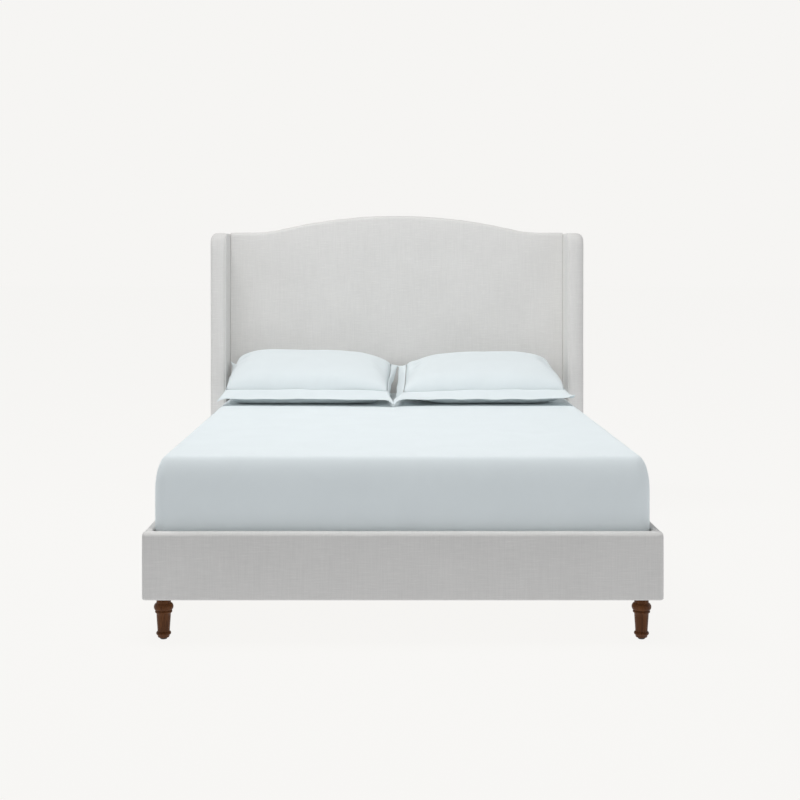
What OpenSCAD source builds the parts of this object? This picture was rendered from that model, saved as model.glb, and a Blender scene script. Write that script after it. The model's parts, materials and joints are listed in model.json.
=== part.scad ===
// Queen-size upholstered wing bed: an arched headboard between two side wings, padded box rails on
// turned wooden legs, a slatted deck on a centre beam, and the mattress, fitted sheet and two flanged
// pillows that lie on it. Millimetres, +Z up, +Y towards the headboard.
// The origin is on the floor, under the middle of the bed's outer box.

/* [Mattress and sheet] */
// Width of the bare mattress
mattress_w = 1524; // [1370:1:1930]
// Length of the bare mattress
mattress_l = 2032; // [1900:1:2130]
// Thickness of the bare mattress
mattress_h = 260; // [200:1:320]
// Thickness of the fitted sheet with its quilted lining
sheet_t = 3; // [1:0.5:4]

/* [Pillows] */
// Depth of a pillow cover, flange to flange
pillow_d = 588; // [520:1:600]
// Width of the flat flange round a pillow cover
flange_w = 50; // [30:1:60]
// Height of a pillow's crown above its middle plane
pillow_crown = 122; // [80:1:140]
// Slope of a pillow up towards the headboard, in degrees
pillow_tilt = 10.6; // [8:0.1:13]
// Turn of both pillows about the vertical, in degrees
pillow_yaw = -1.2; // [-1.2:0.1:1.2]

/* [Rails] */
// Height of the underside of the rails above the floor
rail_z = 131; // [121:1:160]
// Height of a padded rail
rail_h = 205; // [190:1:230]
// Thickness of the padded foot rail
foot_rail_t = 40; // [36:1:60]
// Thickness of a padded side rail
side_rail_t = 26; // [24:1:40]

/* [Headboard] */
// Thickness of the headboard between the wings
headboard_t = 76; // [70:1:90]
// Height of the headboard's flat shoulders
shoulder_z = 1294; // [1150:1:1400]
// Rise of the arch above the shoulders
arch_rise = 77; // [40:1:110]
// Length of the flat shoulder beside each wing
shoulder_w = 104; // [80:1:160]
// Radius of the hollow curve between shoulder and arch
blend_r = 564; // [300:1:800]

/* [Wings] */
// Thickness of a wing
wing_t = 70; // [64:1:90]
// How far a wing stands in front of the headboard
wing_reach = 180; // [170:1:260]
// Height of the top of a wing
wing_z = 1288; // [1150:1:1400]

/* [Deck] */
// Height of the top of the slats
deck_z = 291; // [281:1:303]
// Number of slats
slat_count = 12; // [12:1:12]
// Width of a slat
slat_w = 100; // [70:1:120]
// Thickness of a slat
slat_t = 18; // [16:1:20]
// Section of the ledgers, width and height
ledger_size = [30, 40];
// Section of the centre beam, width and height
beam_size = [40, 70];

/* [Legs] */
// Distance from the outer face of the rails to the middle of a leg
leg_inset = 58; // [48:1:70]
// Largest radius of a turned leg
leg_r = 30; // [28:1:32]
// How far a leveller can be screwed out
leveller_travel = 15; // [5:1:20]

/* [Hidden] */
$fn = 64;
arc_steps = 5;
arch_steps = 48;
eps = 0.01;

linen = [0.83, 0.82, 0.80];
percale = [0.93, 0.94, 0.95];
walnut = [0.27, 0.17, 0.11];
pine = [0.82, 0.68, 0.48];
plywood = [0.76, 0.62, 0.43];
foam = [0.93, 0.90, 0.78];
lining = [0.16, 0.16, 0.17];
steel = [0.62, 0.63, 0.65];
black_steel = [0.10, 0.10, 0.11];
plastic = [0.09, 0.09, 0.09];

// Mattress as it lies, with the sheet on, and the room round it
side_gap = 1;
foot_gap = 5;
head_gap = 9;
made_w = mattress_w + 2 * sheet_t;
made_l = mattress_l + 2 * sheet_t;
inner_half = made_w / 2 + side_gap;
outer_half = inner_half + side_rail_t;
bed_l = foot_rail_t + foot_gap + made_l + head_gap + headboard_t;
foot_y = -bed_l / 2;
back_y = bed_l / 2;
rail_y = foot_y + foot_rail_t;
headboard_y = back_y - headboard_t;
wing_y = headboard_y - wing_reach;
mattress_y = rail_y + foot_gap + made_l / 2;
mattress_z = deck_z + sheet_t;
sheet_top = mattress_z + mattress_h + sheet_t;
rail_top = rail_z + rail_h;

// Upholstery: fabric, padding behind it, and the boards inside the rails
fabric_t = 2;
wrap_t = 3;
foot_pad = 8;
side_pad = 5;
top_pad = 8;
board_h = rail_h - wrap_t - top_pad;
side_board_t = side_rail_t - side_pad - fabric_t;

// Headboard layers, front to back
headboard_foam_t = 20;
headboard_ply_t = 9;
back_cover_t = 1.5;
edge_roll = 8;
headboard_half = inner_half - 0.5;
ply_y = headboard_y + fabric_t + headboard_foam_t;
post_y = ply_y + headboard_ply_t;
post_back = back_y - back_cover_t;
foam_back_gap = 12;
post_w = 70;
post_drop = 60;
post_x = headboard_half - fabric_t - post_w;
post_top = shoulder_z - post_drop;
cross_h = 90;
cross_below_deck = 38;
cross_low_z = deck_z - cross_below_deck;

// The arch is a crown arc and two hollow arcs that meet it tangentially
arch_x = inner_half - shoulder_w;
arch_radii = (arch_x * arch_x + arch_rise * arch_rise) / (2 * arch_rise);
crown_r = arch_radii - blend_r;
crown_x = crown_r * arch_x / arch_radii;
peak_z = shoulder_z + arch_rise;

// Wings
wing_outer = inner_half + wing_t;
wing_board_t = 24;
wing_front_pad = 20;
wing_top_pad = 23;
wing_board_x = inner_half + (wing_t - wing_board_t) / 2;
wing_board_y = wing_y + wing_front_pad;
wing_board_top = wing_z - wing_top_pad;

// Deck and its fixings
ledger_z = deck_z - slat_t - ledger_size[1];
beam_z = deck_z - slat_t - beam_size[1];
bracket_t = 3;
slat_margin = 10;
slat_half = inner_half - 2;
slat_first = rail_y + slat_margin + slat_w / 2;
slat_last = headboard_y - slat_margin - slat_w / 2;
slat_pitch = (slat_last - slat_first) / (slat_count - 1);
strap_x = 380;
strap_size = [30, 1.5];
block_size = [62, 60];
plate_size = [4, 160, 60];
plate_lift = 22;
plate_y = wing_y - plate_size[1] / 2;
plate_z = rail_z + plate_lift;

// Legs and levellers
leg_x = outer_half - leg_inset;
leg_front_y = foot_y + leg_inset;
leg_rear_inset = 34;
leg_rear_y = back_y - leg_rear_inset;
glide_t = 5;
glide_r = 11;
support_w = 40;
support_y = [-340, 400];
stem_r = 5;
running_gap = 0.08;
stop_gap = 0.3;
leveller_foot_h = 17;
leveller_foot_r = 20;
leveller_hex_r = 11;
leveller_floor = 4;
stem_hold = 36;
support_z = leveller_foot_h + stop_gap;
stem_top = support_z + leveller_travel + stem_hold;

// Fasteners: shank radius, head radius, head height
bolt_m8 = [4, 6.5, 5];
bolt_m6 = [3, 5, 4];
corner_bolt_in = [50, 14];
corner_bolt_x = [inner_half - corner_bolt_in[0], inner_half - corner_bolt_in[1]];
corner_bolt_lift = 52;
corner_bolt_z = rail_z + corner_bolt_lift;
rail_bolt_y = [22, 54];
rail_bolt_l = 20;
board_bolt_y = [120, 144];
board_bolt_l = 44;
corner_bolt_l = 80;
wing_bolt_l = 116;
wing_bolt_z = [216, 680, 1090];
wing_bolt_in = 24;
wing_bolt_y = back_y - wing_bolt_in;
hanger_reach = [28, 44];
hanger_z = [rail_z - hanger_reach[0], rail_z + hanger_reach[1]];

// Pillows lie side by side, a little left of the middle, with their far edges near the headboard
pillow_spare = 48;
pillow_gap = 4;
pillow_shift = -9;
pillow_back_gap = 34;
pillow_lift = 82;
pillow_w = (mattress_w - pillow_spare) / 2;
pillow_y = headboard_y - pillow_d / 2 - pillow_back_gap;
pillow_z = sheet_top + pillow_lift;
insert_gap = 0.3;
sham_t = 2;

NODES = concat(
    ["headboard_post_left", "headboard_post_right", "headboard_rail_lower", "headboard_rail_upper",
     "headboard_panel", "headboard_foam", "headboard_cover", "headboard_back_cover",
     "wing_frame_left", "wing_frame_right", "wing_foam_left", "wing_foam_right",
     "wing_cover_left", "wing_cover_right", "wing_bolts",
     "side_rail_left", "side_rail_right", "side_rail_cover_left", "side_rail_cover_right",
     "foot_rail", "foot_rail_cover", "ledger_left", "ledger_right", "corner_blocks",
     "joining_plates", "plate_bolts", "corner_bolts", "centre_beam", "beam_brackets",
     "centre_leg_front", "centre_leg_rear", "leveller_stem_front", "leveller_stem_rear",
     "leveller_foot_front", "leveller_foot_rear", "slat_straps",
     "leg_front_left", "leg_front_right", "leg_rear_left", "leg_rear_right",
     "hanger_bolts", "leg_glides", "mattress", "fitted_sheet",
     "pillow_left", "pillow_right", "pillow_cover_left", "pillow_cover_right"],
    [for (i = [1:slat_count]) slat_name(i)]);
node = "all";

function slat_name(i) = str("slat_", i < 10 ? "0" : "", i);
function shown(name) = node == "all" || node == name;

// ---- Outlines and helpers ----

function arc(middle, r, a0, a1) =
    [for (i = [0:arc_steps]) let (a = a0 + (a1 - a0) * i / arc_steps) middle + r * [cos(a), sin(a)]];

// Rectangle with corner radii in the order low-left, low-right, high-right, high-left
function round_rect(lo, hi, r) = concat(
    arc([lo[0] + r[0], lo[1] + r[0]], r[0], 180, 270),
    arc([hi[0] - r[1], lo[1] + r[1]], r[1], 270, 360),
    arc([hi[0] - r[2], hi[1] - r[2]], r[2], 0, 90),
    arc([lo[0] + r[3], hi[1] - r[3]], r[3], 90, 180));

// Height of the headboard's top edge at x
function arch_top(x) =
    let (a = abs(x))
    a >= arch_x ? shoulder_z
    : a > crown_x ? shoulder_z + blend_r - sqrt(blend_r * blend_r - (arch_x - a) * (arch_x - a))
    : peak_z - crown_r + sqrt(crown_r * crown_r - a * a);

// Top edge from right to left, lowered by drop
function arch_edge(half, drop) =
    [for (i = [0:arch_steps]) let (x = half * (1 - 2 * i / arch_steps)) [x, arch_top(x) - drop]];

// Headboard outline seen from the front, drawn in by inset at the sides and foot and drop at the top
function headboard_outline(inset, drop) =
    let (half = headboard_half - inset)
    concat([[-half, rail_z + inset], [half, rail_z + inset]], arch_edge(half, drop));

function reversed(list) = [for (i = [len(list) - 1:-1:0]) list[i]];

module along_x(x0, x1) {
    translate([x0, 0, 0]) rotate([90, 0, 90]) linear_extrude(x1 - x0) children();
}

module along_y(y0, y1) {
    translate([0, y1, 0]) rotate([90, 0, 0]) linear_extrude(y1 - y0) children();
}

module box(lo, hi) {
    translate(lo) cube(hi - lo);
}

// Side is -1 for the left of the bed and 1 for the right; shapes are drawn on the right
module on_side(side) {
    if (side < 0) mirror([1, 0, 0]) children();
    else children();
}

module both_sides() {
    for (side = [-1, 1]) on_side(side) children();
}

// Flat plate with rounded corners, centred on z
module plate(size, r, t) {
    translate([0, 0, -t / 2]) linear_extrude(t)
        polygon(round_rect([-size[0], -size[1]] / 2, [size[0], size[1]] / 2, [r, r, r, r]));
}

// Bolt whose head's underside is at the origin and whose shank runs along +Z
module bolt(size, length) {
    cylinder(r = size[0], h = length);
    translate([0, 0, -size[2]]) cylinder(r = size[1], h = size[2], $fn = 6);
}

// ---- Fastener positions, used by the bolts and by the holes they pass through ----

module at_corner_bolts() {
    for (x = corner_bolt_x) translate([x, rail_y + block_size[1], corner_bolt_z]) rotate([90, 0, 0]) children();
}

module at_plate_bolts(places) {
    for (y = places)
        translate([inner_half - plate_size[0], plate_y + y, plate_z + plate_size[2] / 2])
            rotate([0, 90, 0]) children();
}

module at_wing_bolts() {
    for (z = wing_bolt_z) translate([post_x, wing_bolt_y, z]) rotate([0, 90, 0]) children();
}

module at_hangers() {
    for (y = [leg_front_y, leg_rear_y]) translate([leg_x, y, hanger_z[0]]) children();
}

module corner_holes() {
    at_corner_bolts() cylinder(r = bolt_m8[0], h = corner_bolt_l);
}

module plate_holes() {
    at_plate_bolts(rail_bolt_y) cylinder(r = bolt_m6[0], h = rail_bolt_l);
    at_plate_bolts(board_bolt_y) cylinder(r = bolt_m6[0], h = board_bolt_l);
}

module wing_holes() {
    at_wing_bolts() cylinder(r = bolt_m8[0], h = wing_bolt_l);
}

module hanger_holes() {
    at_hangers() cylinder(r = bolt_m8[0], h = hanger_z[1] - hanger_z[0]);
}

// ---- Headboard ----

module headboard_post(side) {
    color(pine) on_side(side) difference() {
        box([post_x, post_y, rail_z + fabric_t], [post_x + post_w, post_back, post_top]);
        wing_holes();
        hanger_holes();
    }
}

module headboard_rail(z) {
    color(pine) box([-post_x, post_y, z], [post_x, post_back, z + cross_h]);
}

module headboard_panel() {
    color(plywood) along_y(ply_y, post_y) polygon(headboard_outline(fabric_t, fabric_t + edge_roll));
}

// Foam sheet over the front, with a roll laid along the top edge of the panel
module headboard_foam() {
    half = headboard_half - fabric_t;
    color(foam) union() {
        along_y(headboard_y + fabric_t, ply_y) polygon(headboard_outline(fabric_t, fabric_t));
        along_y(ply_y - eps, post_back - foam_back_gap)
            polygon(concat(arch_edge(half, fabric_t), reversed(arch_edge(half, fabric_t + edge_roll))));
    }
}

module headboard_cover() {
    color(linen) difference() {
        along_y(headboard_y, post_back) polygon(headboard_outline(0, 0));
        along_y(headboard_y + fabric_t, post_back + 1) polygon(headboard_outline(fabric_t, fabric_t));
        both_sides() wing_holes();
        both_sides() hanger_holes();
    }
}

module headboard_back_cover() {
    color(lining) along_y(post_back, back_y) polygon(headboard_outline(1, 1));
}

// ---- Wings ----

// Wing with its outer front edge and outer top corner rounded, drawn in by inset
module wing_form(inset) {
    small = 3 - inset / 2;
    lo = [inner_half + inset, wing_y + inset];
    hi = [wing_outer - inset, back_y - inset];
    intersection() {
        translate([0, 0, rail_z + inset]) linear_extrude(wing_z - rail_z - 2 * inset)
            polygon(round_rect(lo, hi, [small, 20 - inset, 6 - inset, small]));
        along_y(wing_y - 1, back_y + 1)
            polygon(round_rect([lo[0], rail_z + inset], [hi[0], wing_z - inset],
                               [small, small, 28 - inset, small]));
    }
}

module wing_board() {
    box([wing_board_x, wing_board_y, rail_z + fabric_t],
        [wing_board_x + wing_board_t, back_y - fabric_t, wing_board_top]);
}

module wing_frame(side) {
    color(plywood) on_side(side) difference() {
        wing_board();
        wing_holes();
        plate_holes();
    }
}

module wing_foam(side) {
    color(foam) on_side(side) difference() {
        wing_form(fabric_t);
        wing_board();
        wing_holes();
        plate_holes();
    }
}

module wing_cover(side) {
    color(linen) on_side(side) difference() {
        wing_form(0);
        wing_form(fabric_t);
        wing_holes();
        plate_holes();
    }
}

module wing_bolts() {
    color(steel) both_sides() at_wing_bolts() bolt(bolt_m8, wing_bolt_l);
}

// ---- Rails ----

module foot_rail_board() {
    box([-outer_half + foot_pad, foot_y + foot_pad, rail_z + wrap_t],
        [outer_half - foot_pad, rail_y - fabric_t, rail_z + wrap_t + board_h]);
}

module side_rail_board() {
    box([inner_half + fabric_t, rail_y, rail_z + wrap_t],
        [inner_half + fabric_t + side_board_t, wing_y, rail_z + wrap_t + board_h]);
}

module foot_rail() {
    color(pine) difference() {
        foot_rail_board();
        both_sides() corner_holes();
    }
}

module foot_rail_cover() {
    color(linen) difference() {
        along_x(-outer_half, outer_half)
            polygon(round_rect([foot_y, rail_z], [rail_y, rail_top], [4, 4, 10, 14]));
        foot_rail_board();
        both_sides() corner_holes();
    }
}

module side_rail(side) {
    color(pine) on_side(side) difference() {
        side_rail_board();
        plate_holes();
    }
}

module side_rail_cover(side) {
    color(linen) on_side(side) difference() {
        along_y(rail_y, wing_y)
            polygon(round_rect([inner_half, rail_z], [outer_half, rail_top], [4, 4, 12, 8]));
        side_rail_board();
        plate_holes();
    }
}

module ledger(side) {
    color(pine) on_side(side)
        box([inner_half - ledger_size[0], rail_y, ledger_z],
            [inner_half, headboard_y, ledger_z + ledger_size[1]]);
}

module corner_blocks() {
    color(pine) both_sides() difference() {
        box([inner_half - block_size[0], rail_y, rail_z],
            [inner_half, rail_y + block_size[1], ledger_z]);
        corner_holes();
        hanger_holes();
    }
}

module corner_bolts() {
    color(steel) both_sides() at_corner_bolts() bolt(bolt_m8, corner_bolt_l);
}

// Flat plates that join each side rail to the wing behind it
module joining_plates() {
    color(black_steel) both_sides() difference() {
        translate([inner_half - plate_size[0], plate_y, plate_z]) cube(plate_size);
        plate_holes();
    }
}

// Short bolts into the rail and long ones into the board inside the wing
module plate_bolts() {
    color(steel) both_sides() {
        at_plate_bolts(rail_bolt_y) bolt(bolt_m6, rail_bolt_l);
        at_plate_bolts(board_bolt_y) bolt(bolt_m6, board_bolt_l);
    }
}

// ---- Deck ----

module centre_beam() {
    color(pine) box([-beam_size[0] / 2, rail_y + bracket_t, beam_z],
                    [beam_size[0] / 2, headboard_y - bracket_t, beam_z + beam_size[1]]);
}

// Bracket at the foot end: a back plate with a U-shaped cradle for the beam's end
module beam_bracket() {
    half = beam_size[0] / 2;
    box([-half - 22, rail_y, beam_z - bracket_t], [half + 22, rail_y + bracket_t, beam_z + 60]);
    difference() {
        box([-half - bracket_t, rail_y + bracket_t - eps, beam_z - bracket_t],
            [half + bracket_t, rail_y + 60, beam_z + 45]);
        box([-half, rail_y, beam_z], [half, rail_y + 61, beam_z + 46]);
    }
}

module beam_brackets() {
    middle_y = (rail_y + headboard_y) / 2;
    color(black_steel) {
        beam_bracket();
        translate([0, 2 * middle_y, 0]) mirror([0, 1, 0]) beam_bracket();
    }
}

module slat(i) {
    y = slat_first + (i - 1) * slat_pitch;
    color(pine) box([-slat_half, y - slat_w / 2, deck_z - slat_t], [slat_half, y + slat_w / 2, deck_z]);
}

module slat_straps() {
    top = deck_z - slat_t;
    color(lining) both_sides()
        box([strap_x - strap_size[0] / 2, slat_first - slat_w / 2, top - strap_size[1]],
            [strap_x + strap_size[0] / 2, slat_last + slat_w / 2, top]);
}

module centre_leg(y) {
    color(pine) difference() {
        box([-support_w / 2, y - support_w / 2, support_z], [support_w / 2, y + support_w / 2, beam_z]);
        translate([0, y, support_z - 1]) cylinder(r = stem_r + running_gap, h = stem_top + 2 - support_z + 1);
    }
}

module leveller_stem(y) {
    color(steel) translate([0, y, leveller_floor + stop_gap])
        cylinder(r = stem_r, h = stem_top - leveller_floor - stop_gap);
}

module leveller_foot(y) {
    color(plastic) translate([0, y, 0]) difference() {
        union() {
            cylinder(r = leveller_foot_r, h = 6);
            cylinder(r = leveller_hex_r, h = leveller_foot_h, $fn = 6);
        }
        translate([0, 0, leveller_floor]) cylinder(r = stem_r + running_gap, h = leveller_foot_h);
    }
}

// ---- Turned legs ----

// Ring round the leg at height z: a circle of radius r turned about the leg's axis
module bead(z, middle_r, r) {
    translate([0, 0, z]) rotate_extrude() translate([middle_r, 0]) circle(r = r);
}

module turned_leg() {
    foot_r = 18;
    neck_r = 21.8;
    taper_z = 23;
    neck_z = 79;
    union() {
        translate([0, 0, glide_t]) cylinder(r1 = foot_r - 2, r2 = foot_r, h = 2);
        translate([0, 0, glide_t + 2]) cylinder(r = foot_r, h = taper_z - glide_t);
        bead(18, 17.3, 5.5);
        translate([0, 0, taper_z]) cylinder(r1 = foot_r + 0.5, r2 = neck_r, h = neck_z - taper_z);
        bead(85, 22, 4.5);
        translate([0, 0, neck_z]) cylinder(r = neck_r, h = rail_z - neck_z);
        bead(99, leg_r - 13, 13);
    }
}

module leg(side, y) {
    color(walnut) on_side(side) difference() {
        translate([leg_x, y, 0]) turned_leg();
        hanger_holes();
    }
}

module hanger_bolts() {
    color(steel) both_sides() at_hangers() cylinder(r = bolt_m8[0], h = hanger_z[1] - hanger_z[0]);
}

module leg_glides() {
    color(plastic) both_sides()
        for (y = [leg_front_y, leg_rear_y]) translate([leg_x, y, 0]) cylinder(r = glide_r, h = glide_t);
}

// ---- Mattress and sheet ----

// Block with soft edges: level plates whose inset follows an ellipse at the top and a circle at the
// foot, hulled together
module soft_block(w, l, z0, z1) {
    edge_w = 36;
    edge_h = 104;
    foot_r = 18;
    steps = 4;
    corner_r = 62;
    t = 1;
    hull() {
        for (i = [0:steps]) {
            a = 90 * i / steps;
            top_in = edge_w * (1 - cos(a));
            foot_in = foot_r * (1 - cos(a));
            translate([0, mattress_y, z1 - edge_h * (1 - sin(a)) - t / 2])
                plate([w - 2 * top_in, l - 2 * top_in], corner_r - top_in / 2, t);
            translate([0, mattress_y, z0 + foot_r * (1 - sin(a)) + t / 2])
                plate([w - 2 * foot_in, l - 2 * foot_in], corner_r - foot_in / 2, t);
        }
    }
}

module mattress() {
    color([0.96, 0.95, 0.92])
        soft_block(mattress_w, mattress_l, mattress_z, mattress_z + mattress_h);
}

// The sheet covers the top and sides and turns in a hem's width under the mattress
module fitted_sheet() {
    hem = 80;
    color(percale) difference() {
        soft_block(made_w, made_l, deck_z, sheet_top);
        soft_block(mattress_w, mattress_l, mattress_z, mattress_z + mattress_h);
        box([-mattress_w / 2 + hem, mattress_y - mattress_l / 2 + hem, deck_z - 1],
            [mattress_w / 2 - hem, mattress_y + mattress_l / 2 - hem, mattress_z + 1]);
    }
}

// ---- Pillows ----

module at_pillow(side) {
    translate([pillow_shift + side * (pillow_w + pillow_gap) / 2, pillow_y, pillow_z])
        rotate([0, 0, pillow_yaw]) children();
}

// Plump form: a sloping middle plate, a crown above it and the flat patch it lies on, grown by extra
module pillow_form(extra) {
    body_w = pillow_w - 2 * flange_w - 8;
    body_d = pillow_d - 2 * flange_w - 8;
    rest_z = pillow_lift - 3;
    hull() {
        rotate([pillow_tilt, 0, 0]) plate([body_w + 2 * extra, body_d + 2 * extra], 50, 24);
        rotate([pillow_tilt, 0, 0]) translate([0, 0, pillow_crown * 0.62])
            plate([body_w * 0.86 + 2 * extra, body_d * 0.8 + 2 * extra], 80, 1);
        translate([0, 0, pillow_crown + extra - 4]) rotate([pillow_tilt / 2, 0, 0])
            plate([body_w * 0.55, body_d * 0.45], 90, 1);
        translate([0, -28, -rest_z - extra])
            plate([body_w * 0.8 + 2 * extra, body_d * 0.72 + 2 * extra], 80, 1);
    }
}

module pillow(side) {
    color([0.97, 0.97, 0.96]) at_pillow(side) pillow_form(0);
}

module pillow_cover(side) {
    color(percale) at_pillow(side) difference() {
        union() {
            pillow_form(sham_t);
            rotate([pillow_tilt, 0, 0]) plate([pillow_w, pillow_d], 14, 2 * sham_t);
        }
        pillow_form(insert_gap);
    }
}

// ---- Nodes ----

if (shown("headboard_post_left")) headboard_post(-1);
if (shown("headboard_post_right")) headboard_post(1);
if (shown("headboard_rail_lower")) headboard_rail(cross_low_z);
if (shown("headboard_rail_upper")) headboard_rail(post_top - cross_h);
if (shown("headboard_panel")) headboard_panel();
if (shown("headboard_foam")) headboard_foam();
if (shown("headboard_cover")) headboard_cover();
if (shown("headboard_back_cover")) headboard_back_cover();
if (shown("wing_frame_left")) wing_frame(-1);
if (shown("wing_frame_right")) wing_frame(1);
if (shown("wing_foam_left")) wing_foam(-1);
if (shown("wing_foam_right")) wing_foam(1);
if (shown("wing_cover_left")) wing_cover(-1);
if (shown("wing_cover_right")) wing_cover(1);
if (shown("wing_bolts")) wing_bolts();
if (shown("side_rail_left")) side_rail(-1);
if (shown("side_rail_right")) side_rail(1);
if (shown("side_rail_cover_left")) side_rail_cover(-1);
if (shown("side_rail_cover_right")) side_rail_cover(1);
if (shown("foot_rail")) foot_rail();
if (shown("foot_rail_cover")) foot_rail_cover();
if (shown("ledger_left")) ledger(-1);
if (shown("ledger_right")) ledger(1);
if (shown("corner_blocks")) corner_blocks();
if (shown("joining_plates")) joining_plates();
if (shown("plate_bolts")) plate_bolts();
if (shown("corner_bolts")) corner_bolts();
if (shown("centre_beam")) centre_beam();
if (shown("beam_brackets")) beam_brackets();
if (shown("centre_leg_front")) centre_leg(support_y[0]);
if (shown("centre_leg_rear")) centre_leg(support_y[1]);
if (shown("leveller_stem_front")) leveller_stem(support_y[0]);
if (shown("leveller_stem_rear")) leveller_stem(support_y[1]);
if (shown("leveller_foot_front")) leveller_foot(support_y[0]);
if (shown("leveller_foot_rear")) leveller_foot(support_y[1]);
if (shown("slat_straps")) slat_straps();
if (shown("leg_front_left")) leg(-1, leg_front_y);
if (shown("leg_front_right")) leg(1, leg_front_y);
if (shown("leg_rear_left")) leg(-1, leg_rear_y);
if (shown("leg_rear_right")) leg(1, leg_rear_y);
if (shown("hanger_bolts")) hanger_bolts();
if (shown("leg_glides")) leg_glides();
if (shown("mattress")) mattress();
if (shown("fitted_sheet")) fitted_sheet();
if (shown("pillow_left")) pillow(-1);
if (shown("pillow_right")) pillow(1);
if (shown("pillow_cover_left")) pillow_cover(-1);
if (shown("pillow_cover_right")) pillow_cover(1);
for (i = [1:slat_count]) if (shown(slat_name(i))) slat(i);
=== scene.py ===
"""Queen-size upholstered wing bed, dressed with a fitted sheet and two flanged pillows.

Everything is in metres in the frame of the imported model: +Z up, +Y towards the headboard, +X to the
right as seen from the foot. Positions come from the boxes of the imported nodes.
"""
import json
import math

import bmesh
import bpy
import numpy as np
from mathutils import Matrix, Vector, noise


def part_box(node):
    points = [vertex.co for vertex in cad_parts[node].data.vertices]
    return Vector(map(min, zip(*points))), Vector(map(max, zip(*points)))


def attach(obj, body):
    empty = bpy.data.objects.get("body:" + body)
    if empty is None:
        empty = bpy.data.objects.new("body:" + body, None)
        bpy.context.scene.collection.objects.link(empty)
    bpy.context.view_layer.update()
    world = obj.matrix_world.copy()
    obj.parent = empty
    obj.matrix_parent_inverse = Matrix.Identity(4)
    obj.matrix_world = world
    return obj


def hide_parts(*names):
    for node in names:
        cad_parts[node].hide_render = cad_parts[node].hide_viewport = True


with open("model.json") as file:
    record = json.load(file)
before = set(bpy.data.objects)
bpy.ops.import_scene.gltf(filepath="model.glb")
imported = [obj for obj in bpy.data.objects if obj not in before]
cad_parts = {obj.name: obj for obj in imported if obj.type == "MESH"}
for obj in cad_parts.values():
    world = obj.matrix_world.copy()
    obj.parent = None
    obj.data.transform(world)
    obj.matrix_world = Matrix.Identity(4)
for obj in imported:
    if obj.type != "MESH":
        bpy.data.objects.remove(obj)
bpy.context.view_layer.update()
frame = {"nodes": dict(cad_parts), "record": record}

MM = 0.001
SIDES = {"left": -1, "right": 1}


# ---------------------------------------------------------------- shader helpers

class Nodes:
    """A node tree built from short calls; a socket passed as an input is linked."""

    def __init__(self, tree):
        self.tree = tree

    def put(self, socket, value):
        if isinstance(value, bpy.types.NodeSocket):
            self.tree.links.new(value, socket)
        elif value is not None:
            socket.default_value = value

    def node(self, kind, inputs=(), **settings):
        made = self.tree.nodes.new(kind)
        for key, value in settings.items():
            setattr(made, key, value)
        for key, value in dict(inputs).items():
            self.put(made.inputs[key], value)
        return made

    def math(self, operation, a, b=None, c=None):
        inputs = {0: a, 1: b, 2: c}
        return self.node("ShaderNodeMath", inputs, operation=operation).outputs[0]

    def mix(self, factor, a, b, blend="MIX"):
        inputs = {0: factor, 6: a, 7: b}
        return self.node("ShaderNodeMix", inputs, data_type="RGBA", blend_type=blend).outputs[2]

    def blend(self, factor, a, b):
        return self.node("ShaderNodeMix", {0: factor, 2: a, 3: b}, data_type="FLOAT").outputs[0]

    def place(self):
        """The point on the object, in metres, as three sockets."""
        point = self.node("ShaderNodeTexCoord").outputs["Object"]
        return self.node("ShaderNodeSeparateXYZ", {0: point}).outputs

    def facing(self):
        """The size of each component of the object's normal."""
        normal = self.node("ShaderNodeTexCoord").outputs["Normal"]
        parts = self.node("ShaderNodeSeparateXYZ", {0: normal}).outputs
        return [self.math("ABSOLUTE", part) for part in parts]

    def vector(self, x=0.0, y=0.0, z=0.0):
        return self.node("ShaderNodeCombineXYZ", {0: x, 1: y, 2: z}).outputs[0]

    def noise(self, vector, scale, detail=3.0, rough=0.55, warp=0.0):
        inputs = {"Vector": vector, "Scale": scale, "Detail": detail, "Roughness": rough,
                  "Distortion": warp}
        return self.node("ShaderNodeTexNoise", inputs).outputs["Fac"]

    def remap(self, value, low, high, to_low=0.0, to_high=1.0, curve="LINEAR"):
        inputs = {0: value, 1: low, 2: high, 3: to_low, 4: to_high}
        return self.node("ShaderNodeMapRange", inputs, interpolation_type=curve).outputs[0]

    def bump(self, height, distance, strength=1.0, normal=None):
        inputs = {"Height": height, "Distance": distance, "Strength": strength, "Normal": normal}
        return self.node("ShaderNodeBump", inputs).outputs[0]

    def cloth_place(self):
        """Two coordinates in the plane of the cloth, chosen by the way the surface faces."""
        x, y, z = self.place()
        facing_x, facing_y, facing_z = self.facing()
        sideways = self.math("GREATER_THAN", facing_x, self.math("MAXIMUM", facing_y, facing_z))
        upward = self.math("GREATER_THAN", facing_z, self.math("MAXIMUM", facing_x, facing_y))
        return self.blend(sideways, x, y), self.blend(upward, z, y)

    def weave(self, u, v, pitch):
        """Height of a plain weave: threads of both ways, each over and under the other."""
        a = self.math("SINE", self.math("MULTIPLY", u, math.pi / pitch))
        b = self.math("SINE", self.math("MULTIPLY", v, math.pi / pitch))
        over = self.math("GREATER_THAN", self.math("MULTIPLY", a, b), 0.0)
        return self.blend(over, self.math("ABSOLUTE", a), self.math("ABSOLUTE", b))


class Shader(Nodes):
    """A material of one principled shader."""

    def __init__(self, name):
        self.material = bpy.data.materials.new(name)
        self.material.use_nodes = True
        super().__init__(self.material.node_tree)
        self.bsdf = self.tree.nodes["Principled BSDF"]

    def set(self, **inputs):
        for key, value in inputs.items():
            self.put(self.bsdf.inputs[key.replace("_", " ")], value)


def shade(colour, factor):
    return (*[min(1.0, part * factor) for part in colour[:3]], 1.0)


# ---------------------------------------------------------------- materials

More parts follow.
